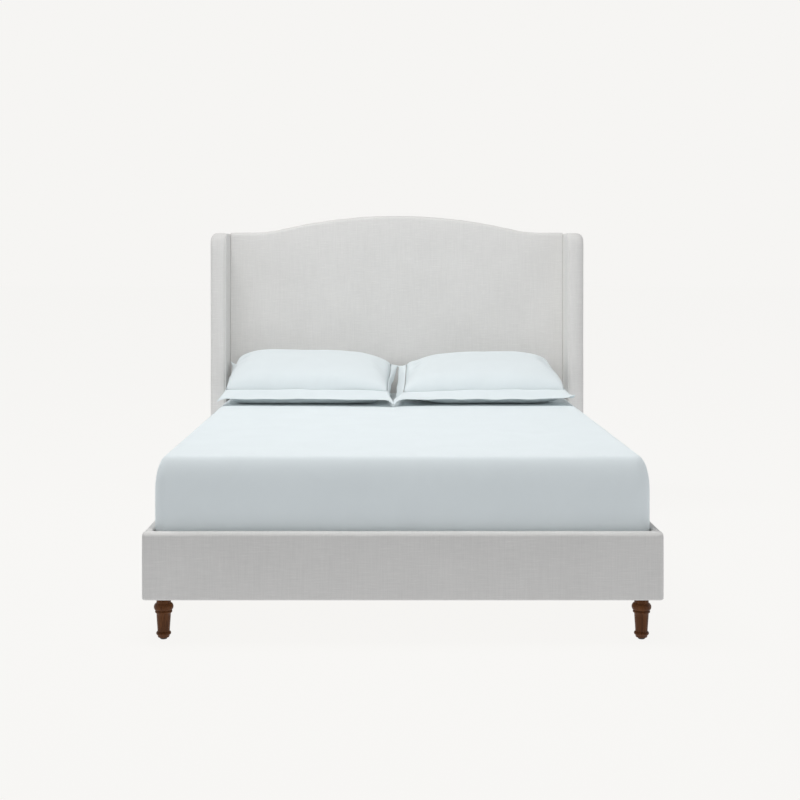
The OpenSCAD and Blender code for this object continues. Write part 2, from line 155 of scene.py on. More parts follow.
LINEN = (0.712, 0.703, 0.687, 1.0)
PERCALE = (0.800, 0.862, 0.880, 1.0)
PAPER = (0.921, 0.913, 0.896, 1.0)           # the floor and the backdrop, seen directly


def linen():
    """Slubby plain weave in an oatmeal white: thick and thin threads both ways, a little heathered."""
    s = Shader("linen")
    u, v = s.cloth_place()
    wander = s.noise(s.vector(u, v), 9.0, 2.0)
    weft_line = s.math("ADD", v, s.math("MULTIPLY", wander, 0.004))
    weft = s.noise(s.vector(s.math("MULTIPLY", u, 14.0), s.math("MULTIPLY", weft_line, 420.0)), 1.0, 4.0)
    warp = s.noise(s.vector(s.math("MULTIPLY", u, 420.0), s.math("MULTIPLY", v, 11.0), 7.3), 1.0, 4.0)
    slub = s.vector(s.math("MULTIPLY", u, 26.0), s.math("MULTIPLY", weft_line, 190.0), 2.1)
    slub = s.noise(slub, 1.0, 2.0)
    cloud = s.noise(s.vector(u, v, 4.0), 5.0, 3.0)
    tone = s.math("ADD", s.remap(weft, 0.25, 0.75, -0.5, 0.5), s.remap(warp, 0.25, 0.75, -0.45, 0.45))
    tone = s.math("ADD", tone, s.remap(slub, 0.55, 0.8, 0.0, 0.7))
    tone = s.math("ADD", tone, s.remap(cloud, 0.3, 0.7, -0.25, 0.25))
    base = s.mix(s.remap(tone, -1.0, 1.2), shade(LINEN, 0.90), shade(LINEN, 1.085))
    flecks = s.noise(s.vector(s.math("MULTIPLY", u, 60.0), s.math("MULTIPLY", v, 60.0)), 14.0, 1.0)
    base = s.mix(s.remap(flecks, 0.66, 0.78, 0.0, 0.22), base, (0.46, 0.44, 0.40, 1.0))
    threads = s.weave(u, v, 0.0011)
    height = s.math("ADD", s.math("MULTIPLY", threads, 0.55), s.math("MULTIPLY", weft, 0.55))
    height = s.math("ADD", height, s.math("MULTIPLY", slub, 0.8))
    s.set(Base_Color=base, Roughness=0.92, Normal=s.bump(height, 0.00035, 0.55),
          Specular_IOR_Level=0.18, Sheen_Weight=0.12, Sheen_Roughness=0.5)
    return s.material


def percale(name="percale", colour=PERCALE, wrinkle=0.0006):
    """Smooth close-woven white cotton with faint creases, painted a little darker in their hollows and
    lighter on their ridges as painted shade.
    """
    s = Shader(name)
    u, v = s.cloth_place()
    x, y, z = s.place()
    threads = s.weave(u, v, 0.0005)
    soft = s.noise(s.vector(x, y, z), 7.0, 4.0, 0.6, 0.8)
    fine = s.noise(s.vector(x, y, z), 46.0, 3.0, 0.6, 0.5)
    # Painted shade: the tone follows the crease height, darker where the creases sink and lighter where
    # they rise
    base = s.mix(s.remap(soft, 0.3, 0.7), shade(colour, 0.985), shade(colour, 1.01))
    base = s.mix(s.math("MULTIPLY", threads, 0.05), base, shade(colour, 0.93))
    creases = s.bump(s.math("ADD", soft, s.math("MULTIPLY", fine, 0.12)), wrinkle, 0.8)
    s.set(Base_Color=base, Roughness=0.85, Normal=s.bump(threads, 0.00012, 0.35, creases),
          Specular_IOR_Level=0.2, Sheen_Weight=0.08, Sheen_Roughness=0.4)
    return s.material


def ticking():
    """Quilted knit cover of the mattress: diamond stitching in a soft off-white, with painted shade
    darkening the stitched grooves between the puffs.
    """
    s = Shader("ticking")
    u, v = s.cloth_place()
    a = s.math("ADD", u, v)
    b = s.math("SUBTRACT", u, v)
    ridge_a = s.math("ABSOLUTE", s.math("SINE", s.math("MULTIPLY", a, math.pi / 0.11)))
    ridge_b = s.math("ABSOLUTE", s.math("SINE", s.math("MULTIPLY", b, math.pi / 0.11)))
    quilt = s.math("POWER", s.math("MULTIPLY", ridge_a, ridge_b), 0.4)
    threads = s.weave(u, v, 0.0012)
    # Painted shade: the cloth is darker down in the stitched grooves and lighter on the puffs
    base = s.mix(s.math("MULTIPLY", quilt, 0.6), (0.66, 0.65, 0.62, 1.0), (0.83, 0.82, 0.78, 1.0))
    puffs = s.bump(quilt, 0.006, 0.8)
    s.set(Base_Color=base, Roughness=0.9, Normal=s.bump(threads, 0.0003, 0.5, puffs),
          Specular_IOR_Level=0.15, Sheen_Weight=0.15)
    return s.material


def timber(name, light, dark, scale, along, roughness, coat=0.0, pores=0.5, specular=0.4):
    """Wood whose grain runs along one axis: drifting rings, fine pores and a little figure."""
    s = Shader(name)
    parts = list(s.place())
    parts[along] = s.math("MULTIPLY", parts[along], 0.07)
    vector = s.vector(*parts)
    ring = s.noise(vector, scale, 3.0, 0.6, 1.6)
    bands = s.math("FRACT", s.math("MULTIPLY", ring, 9.0))
    bands = s.math("ABSOLUTE", s.math("SUBTRACT", bands, 0.5))
    fine = s.noise(vector, scale * 26.0, 4.0, 0.65)
    drift = s.noise(vector, scale * 0.4, 2.0)
    tone = s.math("ADD", s.math("MULTIPLY", bands, 0.9), s.math("MULTIPLY", fine, 0.55))
    tone = s.math("ADD", tone, s.remap(drift, 0.3, 0.7, -0.2, 0.2))
    base = s.mix(s.remap(tone, 0.15, 0.85), dark, light)
    rough = s.remap(fine, 0.3, 0.7, roughness * 0.85, min(1.0, roughness * 1.15))
    s.set(Base_Color=base, Roughness=rough, Normal=s.bump(fine, 0.0002, pores), Coat_Weight=coat,
          Coat_Roughness=0.25, Specular_IOR_Level=specular)
    return s.material


def pine(name, along):
    return timber(name, (0.68, 0.50, 0.29, 1.0), (0.50, 0.32, 0.15, 1.0), 9.0, along, 0.62)


def foam():
    """Pale yellow foam with open cells."""
    s = Shader("foam")
    x, y, z = s.place()
    cells = s.node("ShaderNodeTexVoronoi", {"Vector": s.vector(x, y, z), "Scale": 620.0}).outputs[0]
    cloud = s.noise(s.vector(x, y, z), 6.0)
    base = s.mix(s.remap(cloud, 0.3, 0.7), (0.72, 0.66, 0.44, 1.0), (0.82, 0.77, 0.58, 1.0))
    s.set(Base_Color=base, Roughness=1.0, Normal=s.bump(cells, 0.0008, 0.7), Specular_IOR_Level=0.1)
    return s.material


def lining():
    """Black spun-bonded cloth with its pattern of small bonded dots."""
    s = Shader("lining")
    u, v = s.cloth_place()
    dots = s.node("ShaderNodeTexVoronoi", {"Vector": s.vector(u, v), "Scale": 700.0, "Randomness": 0.25})
    fibres = s.noise(s.vector(u, v), 240.0, 4.0, 0.7)
    cloud = s.noise(s.vector(u, v), 4.0)
    base = s.mix(s.remap(fibres, 0.3, 0.7), (0.020, 0.020, 0.022, 1.0), (0.048, 0.048, 0.050, 1.0))
    base = s.mix(s.remap(cloud, 0.3, 0.7, 0.0, 0.3), base, (0.060, 0.060, 0.062, 1.0))
    height = s.math("ADD", dots.outputs[0], fibres)
    s.set(Base_Color=base, Roughness=0.85, Normal=s.bump(height, 0.0004, 0.6), Specular_IOR_Level=0.25)
    return s.material


def steel(name, colour, roughness, metallic):
    """Plated or painted steel, a little blotched."""
    s = Shader(name)
    x, y, z = s.place()
    grain = s.noise(s.vector(x, y, z), 900.0, 3.0)
    blotch = s.noise(s.vector(x, y, z), 60.0, 3.0)
    base = s.mix(s.remap(blotch, 0.3, 0.7), shade(colour, 0.85), shade(colour, 1.1))
    rough = s.remap(blotch, 0.3, 0.7, roughness * 0.8, roughness * 1.2)
    s.set(Base_Color=base, Roughness=rough, Metallic=metallic, Normal=s.bump(grain, 0.0001, 0.4))
    return s.material


def plastic():
    """Moulded black plastic, lightly scuffed."""
    s = Shader("plastic")
    x, y, z = s.place()
    grain = s.noise(s.vector(x, y, z), 1500.0, 2.0)
    scuff = s.noise(s.vector(x, y, z), 80.0, 4.0)
    base = s.mix(s.remap(scuff, 0.4, 0.7), (0.018, 0.018, 0.018, 1.0), (0.035, 0.035, 0.036, 1.0))
    rough = s.remap(scuff, 0.3, 0.7, 0.4, 0.6)
    s.set(Base_Color=base, Roughness=rough, Normal=s.bump(grain, 0.0001, 0.4))
    return s.material


MATERIALS = {
    "linen": linen(),
    "percale": percale(),
    "ticking": ticking(),
    "pillow_fill": percale("pillow_case", (0.80, 0.80, 0.79, 1.0)),
    "foam": foam(),
    "lining": lining(),
    "walnut": timber("walnut", (0.135, 0.050, 0.015, 1.0), (0.052, 0.017, 0.005, 1.0), 26.0, 2, 0.42,
                     coat=0.04, pores=0.25, specular=0.12),
    "pine": pine("pine", 0),
    "plywood": timber("plywood", (0.60, 0.43, 0.25, 1.0), (0.46, 0.30, 0.15, 1.0), 6.0, 2, 0.7),
    "zinc_steel": steel("zinc_steel", (0.56, 0.57, 0.58, 1.0), 0.32, 1.0),
    "black_steel": steel("black_steel", (0.022, 0.022, 0.024, 1.0), 0.5, 0.0),
    "plastic": plastic(),
}
PINE_LENGTHWAYS = pine("pine_lengthways", 1)
PINE_UPRIGHT = pine("pine_upright", 2)
# Painted shade: the shams are the sheet's percale made darker, so the pillows look less lit than the
# sheet
SHADED_SHAM_CLOTH = percale("sham_cloth_painted_shade", shade(PERCALE, 0.90))


# ---------------------------------------------------------------- mesh helpers

def make_piece(name, points, faces, slot, body="frame", replaces=(), material=None, turn=True):
    """A new smooth piece; turn makes its faces all look outwards, where they aren't drawn that way."""
    mesh = bpy.data.meshes.new(name)
    mesh.from_pydata([tuple(p) for p in points], [], faces)
    tidy = bmesh.new()
    tidy.from_mesh(mesh)
    bmesh.ops.remove_doubles(tidy, verts=tidy.verts, dist=0.02 * MM)
    if turn:
        bmesh.ops.recalc_face_normals(tidy, faces=tidy.faces)
    tidy.to_mesh(mesh)
    tidy.free()
    return finish_piece(linked(name, mesh), slot, body, replaces, True, material)


def linked(name, data):
    """A new object in the scene."""
    made = bpy.data.objects.new(name, data)
    bpy.context.scene.collection.objects.link(made)
    return made


def finish_piece(piece, slot, body, replaces, smooth, material=None):
    """Gives a piece its material and smooth shading, hangs it on its body's empty, and hides the nodes
    it stands for.
    """
    piece.data.materials.clear()
    piece.data.materials.append(material or MATERIALS[slot])
    piece.data.polygons.foreach_set("use_smooth", [smooth] * len(piece.data.polygons))
    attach(piece, body)
    if replaces:
        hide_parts(*replaces)
    return piece


def loft(rings, caps=(True, True)):
    """Points and faces of a skin over rings of equal length, each closed round."""
    count = len(rings[0])
    points = [p for ring in rings for p in ring]
    faces = []
    for i in range(len(rings) - 1):
        for j in range(count):
            k = (j + 1) % count
            faces.append((i * count + j, i * count + k, (i + 1) * count + k, (i + 1) * count + j))
    for cap, start in zip(caps, (0, len(rings) - 1)):
        if cap:
            ring = rings[start]
            points.append(sum((np.array(p) for p in ring), np.zeros(3)) / count)
            middle = len(points) - 1
            faces += [(start * count + j, start * count + (j + 1) % count, middle) for j in range(count)]
    return points, faces


def lathe(middle, profile, segments):
    """Points and faces turned round an upright axis from a profile of (radius, height) in mm."""
    return loft([[(middle[0] + r * MM * math.cos(2 * math.pi * k / segments),
                   middle[1] + r * MM * math.sin(2 * math.pi * k / segments), z * MM)
                  for k in range(segments)] for r, z in profile])


def grid_faces(columns, rows):
    return [(i * rows + j, (i + 1) * rows + j, (i + 1) * rows + j + 1, i * rows + j + 1)
            for i in range(columns - 1) for j in range(rows - 1)]


def rounded_loop(lo, hi, radii, steps=7, sides=(1, 1)):
    """Closed outline of a box with an elliptical corner each; radii are (across, up) pairs in the
    order low-left, low-right, high-right, high-left; sides says how many parts the straight runs
    across and up are cut into."""
    corners = [(lo[0], lo[1], 1, 1, 180), (hi[0], lo[1], -1, 1, 270),
               (hi[0], hi[1], -1, -1, 0), (lo[0], hi[1], 1, -1, 90)]
    arcs = []
    for (x, y, sx, sy, start), (rx, ry) in zip(corners, radii):
        angles = [math.radians(start + 90 * i / steps) for i in range(steps + 1)]
        arcs.append([(x + sx * rx + rx * math.cos(a), y + sy * ry + ry * math.sin(a)) for a in angles])
    points = []
    for i, run in enumerate(arcs):
        points += run
        ahead = arcs[(i + 1) % 4][0]
        divisions = sides[i % 2]
        points += [(run[-1][0] + (ahead[0] - run[-1][0]) * k / divisions,
                    run[-1][1] + (ahead[1] - run[-1][1]) * k / divisions) for k in range(1, divisions)]
    return points


def roll_off(distance, across, down):
    """How far a rounded edge has drawn in, at a distance from the edge it rolls over."""
    if distance >= down:
        return 0.0
    t = 1.0 - max(distance, 0.0) / down
    return across * (1.0 - math.sqrt(max(0.0, 1.0 - t * t)))


def soft_shift(point, amount, scale, seed=0.0):
    """A small smooth offset for cloth over padding."""
    return noise.noise(Vector(point) * scale + Vector((seed, seed * 1.7, -seed))) * amount


def belly(level):
    """0 at both ends of a run from 0 to 1, and 1 in its middle."""
    return math.sin(math.pi * min(1.0, max(0.0, level)))


def stations(lo, hi, fine_lo, fine_hi, step):
    """Stops from lo to hi: close together within fine_lo and fine_hi of the ends, step apart between."""
    def ramp(length):
        return [length * (1 - math.cos(math.radians(90 * i / 8))) for i in range(9)]
    first = [lo + d for d in ramp(fine_lo)]
    last = [hi - d for d in ramp(fine_hi)][::-1]
    count = max(1, round((last[0] - first[-1]) / step))
    middle = [first[-1] + (last[0] - first[-1]) * i / count for i in range(1, count)]
    return first + middle + last


# ---------------------------------------------------------------- headboard

SHOULDER_WIDTH = 103.5 * MM
SHOULDER_RISE = 6 * MM            # above the tops of the wings
HOLLOW_RADIUS = 564 * MM
FOAM_INSET = 2.4 * MM             # from the outside of the cover


def arch_curve():
    """Height of the headboard's top edge at x: a crown arc that runs into a hollow arc and a flat
    shoulder."""
    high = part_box("headboard_cover")[1]
    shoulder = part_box("wing_cover_left")[1][2] + SHOULDER_RISE
    rise, reach = high[2] - shoulder, high[0] - SHOULDER_WIDTH
    both = (reach * reach + rise * rise) / (2 * rise)
    crown = both - HOLLOW_RADIUS
    turn = crown * reach / both

    def top(x):
        a = abs(x)
        if a >= reach:
            return shoulder
        if a > turn:
            return shoulder + HOLLOW_RADIUS - math.sqrt(HOLLOW_RADIUS ** 2 - (reach - a) ** 2)
        return high[2] - crown + math.sqrt(crown * crown - a * a)
    return top


def padded_board(name, slot, inset, replaces):
    """The headboard between the wings: cloth over foam, rolled over the arched edge to the back."""
    lo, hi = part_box("headboard_cover")
    top_of = arch_curve()
    half = hi[0] - inset
    roll, tuck, back_roll = 15 * MM, 2.5 * MM, 5 * MM
    front, back = lo[1] + inset, hi[1]
    crown = 2.5 * MM
    rises = 46

    xs = stations(-half, half, tuck, tuck, 16 * MM)
    # Each column runs up the front, over the rolled edge and down the back a little
    points = []
    for x in xs:
        edge = half - abs(x)
        side_in = roll_off(edge, tuck, tuck)
        bottom = lo[2] + inset
        top = top_of(x) - inset - side_in * 0.4
        turn_z = top - roll
        column = []
        for i in range(rises):
            z = bottom + (turn_z - bottom) * i / rises
            swell = crown * min(1.0, edge / (120 * MM)) * min(1.0, (top - z) / (100 * MM))
            y = front + side_in + roll_off(z - bottom, 5 * MM, 5 * MM) - swell
            column.append((x, y + soft_shift((x, 0, z), 1.0 * MM, 5.0), z))
        for i in range(9):
            a = math.radians(90 * i / 8)
            column.append((x, front + side_in + roll - roll * math.cos(a), turn_z + roll * math.sin(a)))
        for i in range(1, 5):
            column.append((x, front + roll + (back - back_roll - front - roll) * i / 4,
                           top + soft_shift((x, i, 0), 0.6 * MM, 9.0)))
        for i in range(1, 6):
            a = math.radians(90 * i / 5)
            column.append((x, back - back_roll + back_roll * math.sin(a),
                           top - back_roll + back_roll * math.cos(a)))
        column.append((x, back, top - 20 * MM))
        points += column
    rows = len(points) // len(xs)
    faces = grid_faces(len(xs), rows)
    # Sides and foot close the form back to the plane of the back
    for column, sign in ((0, -1), (len(xs) - 1, 1)):
        base = len(points)
        for j in range(rows):
            x, y, z = points[column * rows + j]
            points.append((x, back, z))
        for j in range(rows - 1):
            a, b = column * rows + j, column * rows + j + 1
            faces.append((a, b, base + j + 1, base + j) if sign > 0 else (b, a, base + j, base + j + 1))
    base = len(points)
    for i in range(len(xs)):
        x, y, z = points[i * rows]
        points.append((x, back, z))
    for i in range(len(xs) - 1):
        faces.append((i * rows, base + i, base + i + 1, (i + 1) * rows))
    make_piece(name, points, faces, slot, replaces=replaces)


def back_panel():
    """Lining stapled over the back, with a narrow border of the cover cloth above it."""
    lo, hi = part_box("headboard_back_cover")
    top_of = arch_curve()
    border, trim = 16 * MM, 1 * MM
    fold_width, calm_width, pull_width = 12 * MM, 80 * MM, 50 * MM
    xs = stations(lo[0] + trim, hi[0] - trim, 12 * MM, 12 * MM, 22 * MM)
    rows = 60
    points = []
    for x in xs:
        low, high = lo[2] + trim, top_of(x) - border
        for j in range(rows):
            t = j / (rows - 1)
            z = low + (high - low) * t
            side = min(x - xs[0], xs[-1] - x)
            edge = min(side, z - low, high - z)
            fold = min(1.0, edge / fold_width)
            ripple = soft_shift((x * 2.0, 0, z), 2.2 * MM, 3.0, 5.0) * min(1.0, edge / calm_width)
            # The staples pull at the sides
            pull = 0.5 * MM * math.cos(z * 75) * math.exp(-side / pull_width)
            points.append((x, hi[1] - 0.9 * MM * (1 - fold) - abs(ripple) * 0.4 + pull * fold, z))
    make_piece("back_lining", points, grid_faces(len(xs), rows), "lining",
               replaces=["headboard_back_cover"])


def headboard():
    padded_board("headboard_upholstery", "linen", 0.0, ["headboard_cover"])
    padded_board("headboard_foam_pad", "foam", FOAM_INSET, ["headboard_foam"])
    back_panel()


# ---------------------------------------------------------------- wings

WELT = 8 * MM                     # how far from the corner the seam's pinch reaches


def wing(name, side, slot, inset, replaces):
    """A wing whose front rolls round to its outer face, with a domed outer top corner."""
    lo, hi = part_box("wing_cover_right")
    x0, x1 = lo[0] + inset, hi[0] - inset
    y0, y1 = lo[1] + inset, hi[1] - inset
    z0, z1 = lo[2] + inset, hi[2] - inset
    rings = []
    for z in stations(z0, z1, 6 * MM, 62 * MM, 30 * MM):
        low = z - z0
        high = z1 - z
        foot = roll_off(low, 4 * MM, 5 * MM)
        inner = foot + roll_off(high, 5 * MM, 6 * MM)
        outer = foot + roll_off(high, 26 * MM, 34 * MM)
        front = foot + roll_off(high, 22 * MM, 58 * MM)
        rear = foot + roll_off(high, 10 * MM, 12 * MM)
        radii = [(WELT, WELT), (42 * MM - outer * 0.6, 19 * MM), (8 * MM, 8 * MM), (3 * MM, 3 * MM)]
        loop = rounded_loop((x0 + inner, y0 + front), (x1 - outer, y1 - rear), radii, steps=9,
                            sides=(3, 14))
        ring = []
        for x, y in loop:
            # The two cloths meet in a pinched seam at the inner front edge
            across, deep = x0 + inner + WELT - x, y0 + front + WELT - y
            if across > 0 and deep > 0:
                pinch = 0.9 * (2 * across * deep / WELT ** 2) ** 2
                x, y = x + across * pinch, y + deep * pinch
            swell = 1.6 * MM * belly((y - y0) / (y1 - y0)) * (x > (x0 + x1) / 2)
            x += swell + soft_shift((x, y, z), 0.9 * MM, 7.0, 3.0) * (x > x0 + inner + 20 * MM)
            y += soft_shift((x, y, z), 0.9 * MM, 6.0, 8.0) * (y < y1 - 50 * MM)
            ring.append((side * x, y, z))
        rings.append(ring)
    make_piece(name, *loft(rings), slot, replaces=replaces)


def wings():
    for word, side in SIDES.items():
        wing(f"wing_upholstery_{word}", side, "linen", 0.0, [f"wing_cover_{word}"])
        wing(f"wing_foam_pad_{word}", side, "foam", FOAM_INSET, [f"wing_foam_{word}"])


# ---------------------------------------------------------------- rails

def foot_rail():
    """Cloth over the foot rail, its front bellied a little, its ends rolled round."""
    lo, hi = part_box("foot_rail_cover")
    radii = [(5 * MM, 5 * MM), (4 * MM, 4 * MM), (9 * MM, 8 * MM), (14 * MM, 12 * MM)]
    rings = []
    for x in stations(lo[0], hi[0], 12 * MM, 12 * MM, 24 * MM):
        draw = roll_off(min(x - lo[0], hi[0] - x), 11 * MM, 12 * MM)
        loop = rounded_loop((lo[1] + draw, lo[2] + draw * 0.3), (hi[1] - draw * 0.3, hi[2] - draw * 0.6),
                            radii, steps=8, sides=(3, 16))
        ring = []
        for y, z in loop:
            level = (z - lo[2]) / (hi[2] - lo[2])
            if y < lo[1] + draw + 4 * MM:
                y -= 1.4 * MM * belly(level) + soft_shift((x, 0, z), 0.8 * MM, 6.0)
            ring.append((x, y, z + soft_shift((x, y, 0), 0.7 * MM, 5.0, 2.0) * (level > 0.9)))
        rings.append(ring)
    make_piece("foot_rail_upholstery", *loft(rings), "linen", replaces=["foot_rail_cover"])


def side_rails():
    """Cloth over the side rails, each drawn as the right one and mirrored for the left."""
    lo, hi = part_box("side_rail_cover_right")
    radii = [(4 * MM, 4 * MM), (5 * MM, 5 * MM), (12 * MM, 12 * MM), (8 * MM, 8 * MM)]
    for word, side in SIDES.items():
        rings = []
        for y in stations(lo[1], hi[1], 2 * MM, 2 * MM, 26 * MM):
            draw = roll_off(min(y - lo[1], hi[1] - y), 2 * MM, 2 * MM)
            loop = rounded_loop((lo[0] + draw, lo[2] + draw), (hi[0] - draw, hi[2] - draw), radii,
                                steps=8, sides=(3, 16))
            ring = []
            for x, z in loop:
                if x > hi[0] - draw - 4 * MM:
                    x += 1.2 * MM * belly((z - lo[2]) / (hi[2] - lo[2]))
                    x += soft_shift((0, y, z), 0.8 * MM, 6.0, side)
                ring.append((side * x, y, z))
            rings.append(ring)
        make_piece(f"side_rail_upholstery_{word}", *loft(rings), "linen",
                   replaces=[f"side_rail_cover_{word}"])


# ---------------------------------------------------------------- legs and timber

def bead(z, middle, r, start, stop, steps=10):
    """Part of a circle in a turned profile, from one angle to another; middle is its radius out."""
    angles = [math.radians(start + (stop - start) * i / steps) for i in range(steps + 1)]
    return [(middle + r * math.cos(a), z + r * math.sin(a)) for a in angles]


def turned_leg(node):
    """Lathe-turned leg: foot, low ring, tapered shaft, ring, bulb and neck."""
    lo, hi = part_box(node)
    middle = ((lo[0] + hi[0]) / 2, (lo[1] + hi[1]) / 2)
    profile = [(15.2, 5.0), (17.0, 5.9), (18.0, 8.0), (18.2, 12.2)]
    profile += bead(18, 17.3, 5.5, -62, 62)
    profile += [(18.6, 23.6), (18.7, 26.0), (19.5, 40.0), (20.6, 55.0), (21.6, 70.0), (22.0, 79.6)]
    profile += bead(84.6, 21.8, 4.6, -70, 64)
    profile += [(24.2, 89.2)]
    profile += bead(99, 17, 13, -48, 62)
    profile += [(22.3, 111.4), (21.9, 114.0), (21.8, hi[2] / MM)]
    make_piece("turned_" + node, *lathe(middle, profile, 72), "walnut", replaces=[node])


def eased_copy(node, width, material=None):
    """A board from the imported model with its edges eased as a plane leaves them."""
    piece = linked("eased_" + node, frame["nodes"][node].data.copy())
    tidy = bmesh.new()
    tidy.from_mesh(piece.data)
    bmesh.ops.remove_doubles(tidy, verts=tidy.verts, dist=0.001 * MM)
    bmesh.ops.dissolve_limit(tidy, angle_limit=math.radians(1), verts=tidy.verts, edges=tidy.edges)
    sharp = [e for e in tidy.edges if len(e.link_faces) == 2 and e.calc_face_angle() > math.radians(60)]
    bmesh.ops.bevel(tidy, geom=sharp, offset=width, segments=3, affect="EDGES", profile=0.5)
    tidy.to_mesh(piece.data)
    tidy.free()
    finish_piece(piece, "pine", "frame", [node], False, material)


def glides():
    """Four round glides nailed under the legs, as one piece."""
    lo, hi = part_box("leg_glides")
    points, faces = [], []
    profile = [(9.2, 0.0), (10.6, 0.9), (11.0, 2.2), (11.0, 4.4), (10.4, 5.0)]
    r = 11 * MM
    for x in (lo[0] + r, hi[0] - r):
        for y in (lo[1] + r, hi[1] - r):
            more, skin = lathe((x, y), profile, 32)
            faces += [tuple(i + len(points) for i in face) for face in skin]
            points += more
    make_piece("nail_glides", points, faces, "plastic", replaces=["leg_glides"])


def legs():
    for node in ("leg_front_left", "leg_front_right", "leg_rear_left", "leg_rear_right"):
        turned_leg(node)
    glides()


def deck():
    for i in range(1, 13):
        eased_copy(f"slat_{i:02d}", 2.5 * MM)
    for word in SIDES:
        eased_copy(f"ledger_{word}", 2 * MM, PINE_LENGTHWAYS)
    eased_copy("centre_beam", 2.5 * MM, PINE_LENGTHWAYS)


# ---------------------------------------------------------------- mattress and sheet

TOP_EDGE = (36 * MM, 104 * MM)    # how far the top edge rolls off, across and down
LOW_EDGE = 16 * MM
CORNER = 46 * MM
HEM = 74 * MM                     # how far the sheet turns in under the mattress


def bed_loop(lo, hi, inset, r):
    """Outline of the mattress, drawn in by a distance."""
    return rounded_loop((lo[0] + inset, lo[1] + inset), (hi[0] - inset, hi[1] - inset), [(r, r)] * 4,
                        steps=10, sides=(84, 112))


def bed_block(lo, hi, corner, rows_top):
    """Rings up the side of a mattress shape, over its edge and in to the middle line of its top."""
    side_lo, side_hi = lo[2] + LOW_EDGE, hi[2] - TOP_EDGE[1]
    levels = []
    for i in range(7):
        a = math.radians(90 * i / 6)
        levels.append((LOW_EDGE * (1 - math.sin(a)), lo[2] + LOW_EDGE * (1 - math.cos(a))))
    levels += [(0.0, side_lo + (side_hi - side_lo) * i / 8) for i in range(1, 8)]
    for i in range(15):
        a = math.radians(90 * i / 14)
        levels.append((TOP_EDGE[0] * (1 - math.cos(a)), side_hi + TOP_EDGE[1] * math.sin(a)))
    loops = [[(x, y, z) for x, y in bed_loop(lo, hi, inset, corner - inset * 0.5)]
             for inset, z in levels]
    half = (hi[0] - lo[0]) / 2
    rim = loops[-1]
    for i in range(1, rows_top + 1):
        t = (i / rows_top) ** 1.2
        loops.append([(x * (1 - t), y + (min(max(y, lo[1] + half), hi[1] - half) - y) * t, z)
                      for x, y, z in rim])
    return loops


def fitted_sheet():
    """The sheet stretched over the mattress, with its gathered hem turned in underneath."""
    lo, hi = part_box("fitted_sheet")
    middle_y, half_y = (lo[1] + hi[1]) / 2, (hi[1] - lo[1]) / 2
    near_side = 120 * MM
    rings = []
    for loop in bed_block(lo, hi, CORNER, 26):
        ring = []
        for x, y, z in loop:
            push = soft_shift((x, y, z), 1.3 * MM, 2.6, 4.0) + soft_shift((x, y, z), 0.5 * MM, 9.0, 1.0)
            if (z - lo[2]) / (hi[2] - lo[2]) > 0.98:
                z += push
            else:
                out_x = max(0.0, abs(x) - hi[0] + near_side) / near_side
                out_y = max(0.0, abs(y - middle_y) - half_y + near_side) / near_side
                x += push * 0.4 * out_x * (1 if x > 0 else -1)
                y += push * out_y * (1 if y > middle_y else -1)
            ring.append((x, y, z))
        rings.append(ring)
    hem = []
    for inset in (14 * MM, 34 * MM, 56 * MM, HEM):
        wave = inset / HEM
        hem.append([(x + soft_shift((x, y, inset), 4 * MM * wave, 30.0),
                     y + soft_shift((x, y, inset), 4 * MM * wave, 30.0, 6.0),
                     lo[2] + 0.4 * MM + 1.6 * MM * wave * abs(math.sin(x * 160) * math.cos(y * 150)))
                    for x, y in bed_loop(lo, hi, inset, CORNER)])
    points, faces = loft(hem[::-1] + rings, (False, False))
    sheet = make_piece("percale_sheet", points, faces, "percale", "mattress", ["fitted_sheet"])


def mattress():
    points, faces = loft(bed_block(*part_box("mattress"), CORNER - 2 * MM, 8), (True, False))
    make_piece("quilted_mattress", points, faces, "ticking", "mattress", ["mattress"])


# ---------------------------------------------------------------- pillows

# For each pillow: how far the tips of its flange lie from the corners of its cover's box, across and
# along the bed, and their height above the sheet; how plump it is and how much higher its right end
# is. Then for its left and right end: how squarely it is filled (power and root), how far it pulls in,
# and how far it swells over the seam. Lengths are in mm, except for plump.
PILLOWS = {
    "left": {"near": ((-4, 19, 14), (-7, -7, 2)), "far": ((-11, -13, 154), (21, -15, 128)),
             "plump": 76 * MM, "lean": -0.06, "ends": ((6.0, 0.30, 24, 18), (2.6, 0.38, 22, 28))},
    "right": {"near": ((-10, 17, 3), (4, 19, 53)), "far": ((16, -15, 127), (-29, -13, 122)),
              "plump": 67 * MM, "lean": 0.03, "ends": ((1.5, 0.33, 4, 14), (6.0, 0.28, 2, 24))},
}
FLANGE = 48 * MM
HALF_BAG = (325 * MM, 232 * MM)   # from the middle to the seam, across and along the bed
SEAM_NEAR, SEAM_FAR = 64 * MM, 152 * MM       # height of the seam above the sheet
EDGE_NEAR, EDGE_FAR, EDGE_DROP = 31 * MM, 124 * MM, 34 * MM       # the flange's edge, between its tips
BELLY = 1.4                       # how much fuller the underside is than the top
REST_GAP = 4 * MM                 # least height of the draft cover above the sheet
SIDE_PULL, EDGE_PULL = 8 * MM, 6 * MM         # how far the near and far sides pull in: seam, edge
SIDE_SWELL = 9 * MM               # how far the filling pushes them out over the seam
SEAM_SHARE = 0.6                  # the part of an end's swelling that takes the seam along
PULL_END = 1.9                    # the place, 2 being the tips, where pulling in ends
END_RIPPLE, EDGE_RIPPLE = 3, 1.5 * MM         # the first in mm
TIP_SPAN = 0.4                    # how far a tip's own height reaches, in the units of places
CELLS = (50, 38)
RING = 4                          # rows of faces in the flange
FLANGE_HALF = 1.2 * MM            # half its thickness
SLACK = 12 * MM                   # how far the cloth may settle


